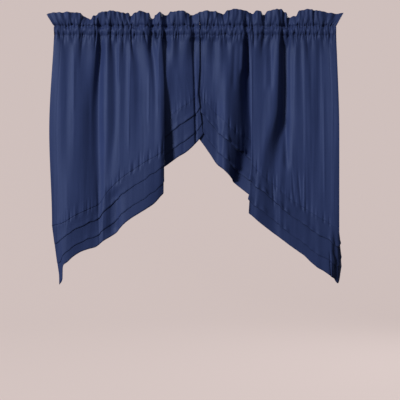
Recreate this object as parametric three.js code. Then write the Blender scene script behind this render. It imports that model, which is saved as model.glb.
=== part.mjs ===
// A pair of gathered swags that share one rod line. Each swag is a folded heading with a ruffle and an
// open rod pocket, a hanging panel, and a border folded into two tucks and a hem along the slanting edge.

import * as THREE from "three";

// Driving dimensions, in millimetres. +X runs to the right along the rod line, +Z is up and the front of
// the cloth faces -Y. The origin is on the rod line, where the two swags meet.
const CLOTH = 1.2;
const HEADING_STEP = 2.4;
const BORDER_STEP = 1.6;
const HEADING_GAP = 0.3;
const SEAM_GAP = 0.8;
const POCKET_HALF_HEIGHT = 15;
const FRONT_WALL_REACH = 7.5;
const BACK_WALL_REACH = 9.2;
const HEADING_JOIN = 5;
const RUFFLE_FLARE = 24;
const RUFFLE_FLARE_WIDTH = 60;

// A stitch line reaches forward this far, and follows its gathers by a share of their depth.
const STITCH_REACH = 6;
const STITCH_SHARE = 0.5;

// Shares of a gather's depth, counted from the deepest gather, that the pocket's walls take up.
const FRONT_WALL_SHARE = 0.25;
const BACK_WALL_SHARE = 0.2;
const DEEPEST_GATHER = 16;

// The gathers open fully over this share of the panel's drop.
const GATHER_RELEASE = 0.1;

// The share of the border's depth at which its last tuck folds. The tucks lie no deeper than on a border of
// the depth given here, also where the hem's corner droops.
const LAST_TUCK = 0.75;
const TUCK_BORDER_DEPTH = 165;

const NAVY = 0x313c63;
const CLOTH_ROUGHNESS = 0.55;

// One row for each fold line of a swag, from left to right. The sideways place and the forward reach are
// given at the heading, half way down the panel, at the border seam and at the hem. The last two columns
// are the heights of the seam and the hem on that line.
const FOLD_COLUMNS = [
  "top", "half", "seam", "foot",
  "topReach", "halfReach", "seamReach", "footReach",
  "seamHeight", "hemHeight",
];

const LEFT_FOLDS = [
  [-486, -502, -495, -472, 5, 7, 6, -4, -653, -850],
  [-479, -487, -479, -463, 8, 10, 7, 2, -649, -838],
  [-469, -471, -463, -456, 10, 12, 15, 11, -645, -785],
  [-449, -444, -438, -440, 3, 9, 13, 12, -634, -772],
  [-413, -423, -420, -424, 10, 15, 13, 11, -621, -757],
  [-379, -393, -390, -398, 1, 8, 7, 6, -606, -740],
  [-345, -364, -362, -374, 8, -1, -3, 1, -593, -731],
  [-330, -341, -337, -348, -14, -12, -11, -4, -580, -723],
  [-314, -318, -321, -323, 10, 13, 13, 12, -549, -704],
  [-291, -285, -292, -288, 0, 6, 8, 2, -524, -682],
  [-273, -268, -270, -272, 9, 11, 12, 12, -501, -665],
  [-247, -251, -252, -256, 1, 8, 10, 12, -487, -649],
  [-233, -222, -226, -231, 9, 13, 13, 14, -469, -629],
  [-215, -197, -199, -202, 0, 7, 12, 13, -451, -611],
  [-180, -168, -169, -173, 9, 14, 14, 14, -432, -593],
  [-161, -150, -150, -151, -5, 11, 18, 18, -423, -578],
  [-140, -137, -136, -136, 10, 18, 24, 24, -414, -561],
  [-126, -120, -120, -118, 6, 11, 7, 7, -394, -538],
  [-121, -146, -162, -160, -1, 6, -12, -12, -362, -503],
  [-116, -145, -161, -159, -7, 1, -24, -24, -343, -486],
  [-110, -110, -109, -109, -11, -1, -31, -30, -298, -447],
  [-90, -88, -76, -74, 9, 0, -5, -5, -267, -422],
  [-72, -70, -55, -50, 3, -1, -10, -12, -253, -409],
  [-42, -42, -34, -28, 9, 3, 4, 6, -240, -391],
  [-15, -15, -14, -9, -7, -7, -3, -4, -225, -373],
  [-1, 0, -2, 3, 6, 3, 9, 9, -208, -353],
];

const RIGHT_FOLDS = [
  [1, -7, -9, -4, -4, -4, -11, -12, -211, -356],
  [25, 23, 17, 18, 8, -5, -16, -17, -228, -386],
  [54, 47, 39, 38, 1, -4, -17, -19, -253, -415],
  [69, 68, 62, 60, 8, 2, -12, -13, -281, -448],
  [94, 90, 84, 82, 2, 6, 4, 4, -301, -465],
  [110, 108, 104, 98, 8, 0, -5, -8, -320, -479],
  [148, 131, 128, 112, 7, -9, -17, -22, -340, -495],
  [155, 157, 156, 124, -12, -38, -48, -40, -360, -508],
  [158.5, 185, 196, 192, -9, -29, -33, -28, -402, -571],
  [161.5, 185, 197, 193, -2, -10, -13, -13, -416, -582],
  [165, 166, 166, 162, 6, 8, 8, 8, -440, -607],
  [186, 178, 180, 182, 9, 14, 23, 25, -457, -625],
  [218, 215, 190, 191, -3, 14, 24, 26, -467, -633],
  [266, 257, 202, 201, 11, 18, 22, 23, -477, -642],
  [280, 281, 258, 258, -16, -16, 6, 8, -521, -685],
  [292, 293, 277, 275, -9, -7, 8, 10, -540, -697],
  [305, 304, 291, 287, 2, 5, 11, 13, -552, -706],
  [320, 318, 307, 302, 8, 11, 14, 15, -566, -718],
  [337, 341, 333, 329, 1, 10, 12, 14, -582, -737],
  [349, 358, 354, 351, 9, 11, 12, 13, -596, -753],
  [370, 376, 371, 369, 0, 9, 10, 12, -608, -771],
  [383, 391, 385, 383, 7, 7, 7, 9, -617, -783],
  [398, 402, 396, 394, 0, 9, 8, 9, -624, -792],
  [407, 413, 410, 409, 8, 13, 13, 13, -631, -800],
  [424, 432, 431, 430, 1, 13, 11, 13, -643, -814],
  [439, 446, 442, 441, 8, 13, 14, 12, -653, -821],
  [445, 453, 449, 452, 7, 13, 12, -5, -658, -830],
  [449, 460, 457, 467, 7, 13, 10, -12, -665, -846],
  [453, 467, 465, 481, 7, 14, 9, -24, -671, -790],
];

// The ruffle's upper edge, from left to right: the place along the heading, the height of the edge above
// the rod line and its forward reach. The low rows are the notches between neighbouring frills.
const RUFFLE_COLUMNS = ["place", "height", "reach"];

const LEFT_RUFFLE = [
  [-486, 54, 10],
  [-467, 58, 16],
  [-434, 59, 18],
  [-400, 58, 10],
  [-382, 46, 2],
  [-367, 39, 4],
  [-350, 50, 12],
  [-325, 60, 18],
  [-291, 64, 17],
  [-258, 59, 12],
  [-237, 58, 4],
  [-230, 51, 2],
  [-220, 57, 10],
  [-199, 63, 18],
  [-170, 58, 10],
  [-157, 41, 2],
  [-149, 53, 6],
  [-132, 60, 15],
  [-116, 53, 2],
  [-90, 62, 12],
  [-57, 64, 18],
  [-23, 53, 3],
  [-1, 60, 10],
];

const RIGHT_RUFFLE = [
  [1, 61, 10],
  [22, 64, 17],
  [52, 62, 14],
  [79, 56, 4],
  [95, 66, 13],
  [119, 70, 18],
  [152, 66, 12],
  [176, 58, 3],
  [188, 64, 12],
  [203, 65, 14],
  [216, 54, 2],
  [227, 64, 10],
  [250, 68, 18],
  [273, 70, 14],
  [287, 60, 6],
  [303, 46, 2],
  [321, 50, 4],
  [334, 65, 12],
  [360, 69, 18],
  [400, 64, 14],
  [434, 56, 8],
  [453, 57, 11],
];

// Heights of the rows of points on a pocket wall, as shares of the pocket's half height. The first and the
// last lie on the stitch lines.
const POCKET_SHARES = [-1, -0.75, 0, 0.75, 1];
const POCKET_SQUARENESS = 6;

// Shares of the panel's drop at which its rows of points lie, closer together under the gathers.
const PANEL_SHARES = [0, 0.06, 0.17, 0.34, 0.55, 0.78, 1];

// The border's section from the seam to the turned edge of the hem: the share of the way from seam to hem,
// and the layer that it lies on, counted backward from the panel. Each tuck stands a little proud at its
// fold.
const BORDER_SECTION = [
  { down: 0, layer: 0 },
  { down: 0.35, layer: -0.7 },
  { down: 0.35, layer: 0.4 },
  { down: 0.05, layer: 1 },
  { down: 0.05, layer: 2 },
  { down: 0.4, layer: 1.7 },
  { down: LAST_TUCK, layer: 1.2 },
  { down: LAST_TUCK, layer: 2.3 },
  { down: 0.31, layer: 3 },
  { down: 0.31, layer: 4 },
  { down: 1, layer: 3.8 },
  { down: 1, layer: 4.9 },
  { down: 0.8, layer: 5 },
];

// How much a cloth corner is rounded off where its cells face different ways.
const CORNER_SOFTNESS = 0.05;

// Points across the cloth for each step from one fold line to the next.
const POINTS_PER_FOLD = 2;

const { lerp, smoothstep } = THREE.MathUtils;

function namedRows(columns, table) {
  return table.map((row) => Object.fromEntries(columns.map((column, index) => [column, row[index]])));
}

// A cubic step from one value to the next with given slopes at its two ends.
function cubicStep(from, to, slopeFrom, slopeTo, share) {
  const square = share * share;
  const cube = square * share;
  return (
    from * (2 * cube - 3 * square + 1) +
    to * (3 * square - 2 * cube) +
    slopeFrom * (cube - 2 * square + share) +
    slopeTo * (cube - square)
  );
}

// A value that runs smoothly down a fold line: from the heading, past the half way value, to the seam.
function downLine(top, half, seam, share) {
  const upper = half - top;
  const lower = seam - half;
  const bend = upper * lower > 0 ? (2 * upper * lower) / (upper + lower) : 0;
  if (share < 0.5) {
    return cubicStep(top, half, upper, bend, share * 2);
  }
  return cubicStep(half, seam, bend, 0, share * 2 - 1);
}

// The forward reach of a fold line where a stitch line holds it.
function stitchReach(fold) {
  return STITCH_REACH + STITCH_SHARE * fold.topReach;
}

// The share of a fold line's border that is as deep as the tucked strip; a drooping corner hangs straight
// down below it.
function tuckedShare(fold) {
  return Math.min(1, TUCK_BORDER_DEPTH / (fold.seamHeight - fold.hemHeight));
}

// The share of a fold line's way from the seam to the hem, for a share of the border's depth. Only the hem
// below the last tuck follows a drooping corner.
function borderShare(fold, depth) {
  const droop = Math.max(0, depth - LAST_TUCK) / (1 - LAST_TUCK);
  return lerp(depth * tuckedShare(fold), depth, droop);
}

// The point of one fold line at a share of its drop: 0 is the stitch line, 1 the seam and 2 the hem.
function foldPoint(fold, share) {
  if (share > 1) {
    const down = borderShare(fold, share - 1);
    return new THREE.Vector3(
      lerp(fold.seam, fold.foot, Math.min(1, down / tuckedShare(fold))),
      -lerp(fold.seamReach, fold.footReach, down),
      lerp(fold.seamHeight, fold.hemHeight, down),
    );
  }
  const opened = smoothstep(share, 0, GATHER_RELEASE);
  const openReach = downLine(fold.topReach, fold.halfReach, fold.seamReach, share);
  return new THREE.Vector3(
    downLine(fold.top, fold.half, fold.seam, share),
    -lerp(stitchReach(fold), openReach, opened),
    lerp(-POCKET_HALF_HEIGHT, fold.seamHeight, share),
  );
}

// The share of a fold line's drop at a depth below the lower stitch line.
function shareBelowStitches(fold, depth) {
  return depth / (-POCKET_HALF_HEIGHT - fold.seamHeight);
}

// A row of points across the cloth on a smooth curve through one point for each fold line.
function rowAcross(folds, pointOf) {
  const curve = new THREE.CatmullRomCurve3(folds.map(pointOf), false, "centripetal");
  return curve.getPoints((folds.length - 1) * POINTS_PER_FOLD);
}

// The direction square to a step of a row, as seen from above, toward the back of the cloth.
function backOf(from, to) {
  return new THREE.Vector3(from.y - to.y, to.x - from.x, 0).normalize();
}

// The same row moved toward the back of the cloth by an even distance, also around its bends.
function behind(row, distance) {
  const last = row.length - 1;
  return row.map((point, index) => {
    const left = Math.max(index, 1);
    const right = Math.min(index, last - 1);
    const backLeft = backOf(row[left - 1], row[left]);
    const backRight = backOf(row[right], row[right + 1]);
    const stretch = distance / (1 + backLeft.dot(backRight));
    return point.clone().addScaledVector(backLeft.add(backRight), stretch);
  });
}

function raised(row, height) {
  return row.map((point) => new THREE.Vector3(point.x, point.y, point.z + height));
}

// Normals of the four grid cells around a point, as far as they exist.
function cellNormals(rows, down, across) {
  const normals = [];
  for (const [r, c] of [[down - 1, across - 1], [down - 1, across], [down, across - 1], [down, across]]) {
    if (rows[r] && rows[r + 1] && rows[r][c] && rows[r][c + 1]) {
      const first = rows[r + 1][c + 1].clone().sub(rows[r][c]);
      const second = rows[r + 1][c].clone().sub(rows[r][c + 1]);
      normals.push(first.cross(second).normalize());
    }
  }
  return normals;
}

// The step from the middle of the cloth to its face at one grid point: the least squares vector that lies
// half a thickness from every cell around the point, so that the cloth stays even at creases and corners.
function faceStep(rows, down, across) {
  const normals = cellNormals(rows, down, across);
  const sum = normals.reduce((total, normal) => total.add(normal), new THREE.Vector3());
  const mean = sum.clone().normalize();
  const products = new THREE.Matrix3().set(...[0, 1, 2].flatMap((r) => [0, 1, 2].map((c) => {
    const product = normals.reduce((total, n) => total + n.getComponent(r) * n.getComponent(c), 0);
    return product + (r === c ? CORNER_SOFTNESS : 0);
  })));
  const step = sum.addScaledVector(mean, CORNER_SOFTNESS).applyMatrix3(products.invert());
  return step.multiplyScalar(CLOTH / 2);
}

// A closed body of even thickness around a grid of points that lies in the middle of the cloth. Every cell
// is split from its lower left to its upper right corner, so that neighbouring layers stay clear.
function clothSolid(rows) {
  const height = rows.length;
  const width = rows[0].length;
  const positions = [];
  for (const face of [1, -1]) {
    rows.forEach((row, down) => {
      row.forEach((point, across) => {
        positions.push(...point.clone().addScaledVector(faceStep(rows, down, across), face).toArray());
      });
    });
  }
  const vertexAt = (face, down, across) => (face * height + down) * width + across;
  const indices = [];
  const addCell = (a, b, c, d) => indices.push(a, b, c, a, c, d);
  for (let down = 0; down < height - 1; down += 1) {
    for (let across = 0; across < width - 1; across += 1) {
      const corners = [[down, across], [down + 1, across], [down + 1, across + 1], [down, across + 1]];
      if (rows[down][across].z > rows[down + 1][across].z) {
        corners.push(corners.shift());
      }
      const [a, b, c, d] = corners.map(([r, k]) => vertexAt(0, r, k));
      addCell(a, d, c, b);
      addCell(...corners.map(([r, k]) => vertexAt(1, r, k)));
    }
  }
  const rim = [];
  for (let across = 0; across < width - 1; across += 1) {
    rim.push([0, across]);
  }
  for (let down = 0; down < height - 1; down += 1) {
    rim.push([down, width - 1]);
  }
  for (let across = width - 1; across > 0; across -= 1) {
    rim.push([height - 1, across]);
  }
  for (let down = height - 1; down > 0; down -= 1) {
    rim.push([down, 0]);
  }
  rim.forEach((here, index) => {
    const next = rim[(index + 1) % rim.length];
    addCell(vertexAt(0, ...next), vertexAt(0, ...here), vertexAt(1, ...here), vertexAt(1, ...next));
  });
  const geometry = new THREE.BufferGeometry();
  geometry.setAttribute("position", new THREE.Float32BufferAttribute(positions, 3));
  geometry.setIndex(indices);
  return geometry;
}

// One column of the ruffle's table at a place along the heading, eased between its rows.
function ruffleValue(ruffle, column, place) {
  const last = ruffle.findIndex((row) => row.place >= place);
  if (last <= 0) {
    return ruffle[last === 0 ? 0 : ruffle.length - 1][column];
  }
  const left = ruffle[last - 1];
  const right = ruffle[last];
  return lerp(left[column], right[column], smoothstep(place, left.place, right.place));
}

// The ruffle's upper edge above a row of stitches, with its outer corner spread past the pocket.
function ruffleEdge(stitches, ruffle, outerEnd) {
  return stitches.map((stitch) => {
    const fromEnd = Math.abs(stitch.x - outerEnd);
    const flare = Math.sign(outerEnd) * RUFFLE_FLARE * (1 - smoothstep(fromEnd, 0, RUFFLE_FLARE_WIDTH));
    return new THREE.Vector3(
      stitch.x + flare,
      -ruffleValue(ruffle, "reach", stitch.x),
      ruffleValue(ruffle, "height", stitch.x),
    );
  });
}

// One wall of the rod pocket at a share of its half height, drawn in to the stitch lines at both ends.
function pocketWall(folds, share, isFront) {
  const bulge = Math.sqrt(1 - Math.abs(share) ** POCKET_SQUARENESS);
  const row = rowAcross(folds, (fold) => {
    const swell = DEEPEST_GATHER + fold.topReach;
    const frontReach = FRONT_WALL_REACH + FRONT_WALL_SHARE * swell;
    const backReach = HEADING_STEP - BACK_WALL_REACH - BACK_WALL_SHARE * swell;
    const reach = lerp(stitchReach(fold), isFront ? frontReach : backReach, bulge);
    return new THREE.Vector3(fold.top, -reach, share * POCKET_HALF_HEIGHT);
  });
  return isFront ? row : behind(row, HEADING_STEP);
}

// The heading runs up the front from its join with the panel, over the top of the ruffle and down the back
// of the pocket to the join again.
function headingRows(swag) {
  const front = POCKET_SHARES.map((share) => pocketWall(swag.folds, share, true));
  const back = POCKET_SHARES.map((share) => pocketWall(swag.folds, share, false)).reverse();
  const edge = ruffleEdge(front[front.length - 1], swag.ruffle, swag.outerEnd);
  const join = rowAcross(swag.folds, (fold) => foldPoint(fold, shareBelowStitches(fold, HEADING_JOIN)));
  return [join, ...front, edge, behind(edge, HEADING_STEP), ...back, behind(join, HEADING_STEP)];
}

// The panel hangs just clear of the heading's lower edge and ends just above the border seam.
function panelRows(swag) {
  const rows = PANEL_SHARES.map((share) => rowAcross(swag.folds, (fold) => {
    return foldPoint(fold, lerp(shareBelowStitches(fold, HEADING_JOIN), 1, share));
  }));
  const last = rows.length - 1;
  rows[0] = raised(rows[0], -HEADING_GAP);
  rows[last] = raised(rows[last], SEAM_GAP);
  return rows;
}

function borderRows(swag) {
  return BORDER_SECTION.map(({ down, layer }) => {
    const row = rowAcross(swag.folds, (fold) => foldPoint(fold, 1 + down));
    return behind(row, layer * BORDER_STEP);
  });
}

function clothMesh(name, rows) {
  const material = new THREE.MeshStandardMaterial({
    color: NAVY,
    roughness: CLOTH_ROUGHNESS,
    metalness: 0,
    flatShading: true,
  });
  const mesh = new THREE.Mesh(clothSolid(rows), material);
  mesh.name = name;
  return mesh;
}

function makeSwag(side, foldTable, ruffleTable) {
  const folds = namedRows(FOLD_COLUMNS, foldTable);
  const ruffle = namedRows(RUFFLE_COLUMNS, ruffleTable);
  const outerEnd = side === "left" ? folds[0].top : folds[folds.length - 1].top;
  const swag = { folds, ruffle, outerEnd };
  const group = new THREE.Group();
  group.add(clothMesh(`heading_${side}`, headingRows(swag)));
  group.add(clothMesh(`panel_${side}`, panelRows(swag)));
  group.add(clothMesh(`border_${side}`, borderRows(swag)));
  return group;
}

const curtain = new THREE.Group();
curtain.add(makeSwag("left", LEFT_FOLDS, LEFT_RUFFLE));
curtain.add(makeSwag("right", RIGHT_FOLDS, RIGHT_RUFFLE));

export default curtain;
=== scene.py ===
"""Dress the rod pocket swag pair: two gathered swags of navy cloth with tucked borders."""

import math
from collections import namedtuple

import bpy
import numpy as np
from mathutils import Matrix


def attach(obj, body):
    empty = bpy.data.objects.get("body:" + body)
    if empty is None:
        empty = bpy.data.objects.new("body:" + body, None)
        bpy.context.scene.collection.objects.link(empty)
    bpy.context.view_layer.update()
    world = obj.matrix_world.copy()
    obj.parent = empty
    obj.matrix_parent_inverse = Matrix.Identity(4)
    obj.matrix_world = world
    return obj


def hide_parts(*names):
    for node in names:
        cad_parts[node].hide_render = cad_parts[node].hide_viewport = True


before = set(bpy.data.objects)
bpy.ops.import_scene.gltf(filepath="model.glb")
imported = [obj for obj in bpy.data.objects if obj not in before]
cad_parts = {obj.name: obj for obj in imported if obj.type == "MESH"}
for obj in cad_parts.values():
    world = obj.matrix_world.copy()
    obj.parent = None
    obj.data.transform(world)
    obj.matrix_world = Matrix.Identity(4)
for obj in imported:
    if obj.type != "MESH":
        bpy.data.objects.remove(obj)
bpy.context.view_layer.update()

# The cloth's sizes are in millimetres, in the frame of the solids: +X right, +Z up, its front faces -Y.
MM = 0.001
CLOTH = 0.5
NEARLY_ZERO = 1e-9

# The rod pocket lies between two stitch lines. The step is from the heading's front layer to its back one.
HEADING_STEP = 2.4
POCKET_HALF_HEIGHT = 15.0
FRONT_WALL_REACH = 7.5
BACK_WALL_REACH = 9.2
POCKET_SQUARENESS = 2.0

# Shares of a gather's depth, as in the solids, the reach of the stitch lines, and the share of the drop
# over which the gathers open below them.
STITCH_SHARE = 0.5
STITCH_REACH = 6.0
FRONT_WALL_SHARE = 0.25
BACK_WALL_SHARE = 0.2
DEEPEST_GATHER = 16.0
GATHER_RELEASE = 0.1

# Grid of the visible cloth. The panel's rows are crowded toward the seam and toward the heading.
COLUMNS_PER_FOLD = 16
PANEL_ROWS = 56
ROW_CROWDING = 0.72
POCKET_ROWS = 14
RUFFLE_ROWS = 12
TURN_ROWS = 3

# One row for each fold line, from left to right: sideways places, forward reaches and two heights.
Fold = namedtuple(
    "Fold", "top half seam foot top_reach half_reach seam_reach foot_reach seam_height hem_height"
)

LEFT_FOLDS = [
    (-486, -502, -493, -472, 5, 9, 7, -4, -653, -850),
    (-479, -487, -479, -463, 8, 10, 7, 2, -649, -838),
    (-463, -464, -461, -456, 10, 13, 12, 11, -645, -785),
    (-437, -443, -440, -440, 7, 12, 17, 13, -634, -772),
    (-406, -421, -420, -424, 11, 15, 16, 12, -621, -757),
    (-377, -393, -390, -398, 4, 12, 12, 8, -606, -740),
    (-342, -364, -362, -374, 8, -1, 4, 6, -593, -731),
    (-335, -341, -337, -347, -13, -12, -5, 2, -580, -723),
    (-309, -311, -316, -323, 10, 13, 5, 3, -549, -704),
    (-285, -282, -300, -288, 0, 7, 8, 3, -530, -682),
    (-265, -265, -270, -272, 8, 11, 13, 9, -501, -665),
    (-244, -249, -252, -256, 3, 10, 14, 13, -487, -649),
    (-232, -226, -226, -231, 8, 14, 16, 15, -469, -629),
    (-215, -200, -199, -202, 2, 10, 18, 17, -451, -611),
    (-185, -160, -169, -173, 7, 15, 21, 18, -432, -593),
    (-161, -148, -150, -151, -5, 14, 22, 16, -423, -578),
    (-140, -130, -127, -131, 10, 18, 23, 12, -407, -556),
    (-126, -117, -116, -118, 6, 12, 11, 6, -394, -538),
    (-121, -146, -162, -160, -1, 7, -8, -12, -362, -503),
    (-116, -145, -161, -159, -7, 3, -16, -24, -343, -486),
    (-110, -110, -110, -109, -11, 3, -11, -26, -298, -447),
    (-90, -88, -76, -74, 9, 1, -6, -14, -267, -422),
    (-72, -70, -51, -48, 3, 1, -4, -11, -250, -407),
    (-39, -50, -33, -28, 9, 2, -5, -9, -239, -391),
    (-16, -15, -14, -4, -1, -3, -7, -11, -223, -366),
    (0.5, 0, -5, 12, 0, -3, -7, -12, -210, -344),
]

RIGHT_FOLDS = [
    (0.5, -7, -9, -4, -6, -11, -15, -19, -211, -356),
    (25, 23, 17, 18, 6, -6, -13, -18, -228, -386),
    (54, 47, 39, 38, 1, -5, -14, -18, -253, -415),
    (69, 68, 62, 60, 8, 1, -14, -15, -281, -448),
    (94, 90, 84, 82, 2, 5, 0, 0, -301, -465),
    (110, 108, 104, 98, 10, 1, -3, -6, -320, -479),
    (148, 132, 128, 112, 7, -9, -17, -22, -340, -495),
    (155, 163, 174, 119, -12, -40, -50, -40, -360, -508),
    (158.5, 188, 198, 192, -9, -33, -38, -20, -402, -571),
    (161.5, 185, 197, 193, -2, -10, -13, -8, -416, -582),
    (165, 169, 173, 163, 6, 8, 11, 12, -440, -607),
    (186, 180, 181, 172, 9, 12, 12, 13, -452, -616),
    (236, 215, 189, 180, -1, 14, 14, 14, -464, -623),
    (266, 258, 205, 190, 10, 18, 17, 15, -479, -632),
    (280, 281, 245, 250, -16, -16, 8, 6, -511, -679),
    (294, 293, 270, 270, -12, -12, 12, 10, -533, -694),
    (308, 305, 285, 281, 0, -3, 10, 11, -547, -702),
    (320, 318, 307, 302, 8, 5, 12, 12, -566, -718),
    (337, 341, 333, 329, 4, 7, 12, 13, -582, -737),
    (349, 358, 354, 351, 9, 10, 13, 14, -596, -753),
    (370, 373, 371, 369, 5, 12, 13, 15, -608, -771),
    (388, 391, 385, 383, 8, 10, 15, 16, -617, -783),
    (400, 402, 396, 394, 6, 10, 17, 17, -624, -792),
    (407, 413, 410, 409, 7, 13, 18, 17, -631, -800),
    (424, 432, 431, 430, 9, 17, 20, 19, -643, -814),
    (438, 446, 442, 441, 13, 20, 22, 17, -653, -821),
    (445, 453, 450, 452, 14, 22, 23, 0, -658, -830),
    (451, 459, 459, 467, 15, 23, 23, -10, -665, -846),
    (456, 465, 465, 481, 15, 23, 22, -22, -671, -790),
]

# The ruffle's upper edge, from left to right: place along the heading, height and forward reach.
Frill = namedtuple("Frill", "place height reach")

LEFT_RUFFLE = [
    (-486, 54, 10),
    (-467, 58, 16),
    (-434, 59, 18),
    (-400, 58, 10),
    (-382, 46, -2),
    (-367, 39, 4),
    (-350, 50, 12),
    (-325, 60, 18),
    (-291, 64, 17),
    (-258, 59, 12),
    (-237, 58, 0),
    (-230, 51, -2),
    (-220, 57, 10),
    (-199, 63, 18),
    (-170, 58, 10),
    (-157, 41, -3),
    (-149, 53, 6),
    (-132, 60, 15),
    (-116, 53, -2),
    (-90, 62, 12),
    (-57, 64, 18),
    (-23, 53, -1),
    (0.5, 60, 10),
]

RIGHT_RUFFLE = [
    (0.5, 61, 10),
    (22, 64, 17),
    (52, 62, 14),
    (79, 56, 0),
    (95, 66, 13),
    (119, 70, 18),
    (152, 66, 12),
    (176, 58, -2),
    (188, 64, 12),
    (203, 65, 14),
    (216, 54, -3),
    (227, 64, 10),
    (250, 68, 18),
    (273, 70, 14),
    (287, 60, 6),
    (303, 46, -3),
    (321, 50, 4),
    (334, 65, 12),
    (360, 69, 18),
    (400, 64, 14),
    (434, 56, 8),
    (453, 57, 11),
]

# The ruffle flares at its outer end, puffs forward and waves along its edge. A puff shape below one puts
# its fullest place under the ruffle's middle. The lengths of a wave are always its shortest and longest.
RUFFLE_FLARE = 24.0
RUFFLE_FLARE_WIDTH = 60.0
RUFFLE_PUFF = 4.0
RUFFLE_PUFF_SHAPE = 0.6
EDGE_WAVE_REACH = 1.6
EDGE_REACH_LENGTHS = (14, 40)
EDGE_WAVE_HEIGHT = 0.6
EDGE_HEIGHT_LENGTHS = (12, 34)

# The border's layers lie one step behind the other. No tuck lies deeper than on a border of this depth,
# also where the hem's corner droops. The tucks' edges lie at shares of the way from seam to hem, and wave
# by a small share. The slope down the border is taken over another small share.
BORDER_STEP = 0.56
TUCK_BORDER_DEPTH = 165.0
FIRST_TUCK = 0.35
LAST_TUCK = 0.75
TUCK_WAVE = 0.009
TUCK_WAVE_LENGTHS = (30, 160)
SLOPE_STEP = 0.01

# The border's section from the seam to the turned edge of the hem: the share of the way from seam to hem,
# the layer it lies on, counted backward, how much of the tucks' lift it takes, how much of the painted
# shadow along the tucks' edges, and the number of grid rows up to the next place.
Section = namedtuple("Section", "down layer lift shade rows")

BORDER_SECTION = [
    Section(-0.012, 1.2, 0, 0, 2),
    Section(0.004, 0.4, 0, 0, 8),
    Section(0.22, 0.2, 0.3, 0, 6),
    Section(0.325, -0.3, 1, 0, 3),
    Section(0.343, -0.1, 0.7, 1, 2),
    Section(FIRST_TUCK, 0.3, 0.3, 1, 2),
    Section(0.345, 0.8, 0, 1, 4),
    Section(0.05, 1.2, 0, 0, 2),
    Section(0.05, 2, 0, 0, 8),
    Section(0.4, 2.4, 0, 0, 6),
    Section(0.62, 1.7, 0.2, 0, 6),
    Section(0.725, 1.3, 0.6, 0, 3),
    Section(0.743, 1.5, 0.4, 0.6, 2),
    Section(LAST_TUCK, 1.9, 0.2, 0.6, 2),
    Section(0.745, 2.6, 0, 0.6, 4),
    Section(0.31, 3, 0, 0, 2),
    Section(0.31, 4, 0, 0, 18),
    Section(1, 3.8, 0, 0, 3),
    Section(1, 4.9, 0, 0, 4),
    Section(0.8, 5, 0, 0, 0),
]

# How far the tucks stand open along each swag: the place across the cloth and the forward lift. The lift
# also waves by a share of itself, between the two limits.
Opening = namedtuple("Opening", "place lift")

LEFT_OPENINGS = [
    (-495, 0.3),
    (-440, 0.6),
    (-400, 1.4),
    (-340, 1.8),
    (-290, 2.0),
    (-250, 0.5),
    (-200, 0.1),
    (-140, 0.1),
    (-100, 1.6),
    (0, 1.6),
]

RIGHT_OPENINGS = [
    (0, 2.4),
    (60, 4.4),
    (120, 5.2),
    (200, 6.0),
    (250, 5.6),
    (300, 3.4),
    (340, 2.0),
    (390, 3.0),
    (470, 3.6),
]

OPENING_WAVE = 0.3
OPENING_WAVE_LENGTHS = (25, 140)
OPENING_LIMITS = (0.4, 1.6)

# Painted light on the cloth's colour: how light the cloth is painted in the heading, in a single layer
# below it and in the border, as painted shade for the gathers' shadows and for layers that let less light
# through; how far down the heading's gathers paint shade onto the cloth, the painted shadow along a tuck's
# edge, and the lift that gives the full painted shadow.
HEADING_PAINTED_LIGHT = 0.84
PANEL_PAINTED_LIGHT = 1.0
BORDER_PAINTED_LIGHT = 0.91
GATHER_PAINTED_SHADE_REACH = 150.0
TUCK_PAINTED_SHADOW = 0.5
WIDE_OPEN = 4.0

# Creases of the panels and borders, listed one by one: places at the upper and the lower end, half
# width and forward height. They fade over a share of their length at both ends.
CREASE_FADE = 0.25
Crease = namedtuple("Crease", "x_top z_top x_low z_low width height")

LEFT_CREASES = [
    Crease(-342, -480, -334, -760, 4.0, -1.6),
    Crease(-326, -520, -322, -740, 3.4, 0.8),
    Crease(-284, -515, -290, -700, 22.0, -10.0),
    Crease(-419, -60, -420, -300, 4.0, 1.2),
    Crease(-320, -70, -319, -380, 3.2, 2.0),
    Crease(-268, -20, -270, -190, 3.4, 1.6),
    Crease(-232, -60, -236, -420, 3.0, 2.0),
    Crease(-168, -120, -170, -330, 3.2, 1.6),
    Crease(-137, -50, -138, -300, 3.0, 1.4),
    Crease(-22, 40, -9, -460, 3.6, -6.0),
]

RIGHT_CREASES = [
    Crease(119, -20, 113, -210, 7.0, -2.4),
    Crease(143, -30, 139, -150, 5.0, 5.0),
    Crease(174, -60, 176, -330, 3.0, 1.4),
    Crease(240, -40, 238, -210, 6.0, -3.0),
    Crease(224, -60, 222, -210, 6.0, 2.0),
    Crease(304, -20, 306, -330, 3.4, 1.4),
    Crease(349, -10, 352, -460, 5.0, 0.7),
    Crease(372, -60, 376, -470, 5.0, -1.3),
    Crease(414, -150, 417, -600, 3.6, 1.2),
    Crease(442, -160, 446, -660, 4.0, 0.9),
    Crease(243, -470, 249, -600, 3.0, -2.0),
    Crease(306, -440, 318, -590, 3.2, -1.8),
    Crease(328, -460, 340, -610, 3.0, -2.0),
    Crease(350, -470, 349, -610, 3.0, 1.6),
    Crease(286, -270, 292, -480, 9.0, -6.5),
    Crease(433, -730, 441, -840, 3.0, -3.0),
    Crease(446, -740, 452, -845, 3.4, 3.6),
]

# Fine long creases from the cloth's packing and hanging, too shallow to place by hand: their number, their
# sideways drift, and the ranges of their upper ends, lengths, half widths and heights.
STREAK_COUNT = 70
STREAK_DRIFT = 9
STREAK_TOPS = (-480, 20)
STREAK_LENGTHS = (110, 360)
STREAK_WIDTHS = (2.8, 6.5)
STREAK_HEIGHTS = (0.15, 0.45)

# Small gathers along a stitch line: where they start, their half width and forward height, how far they run
# below and above the line, and how far they lean sideways on the way. The spread widens them as they run.
Gather = namedtuple("Gather", "place line width height below above lean_below lean_above")
GATHER_SPREAD = 45.0
GATHER_SHARPNESS = 1.35

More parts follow.
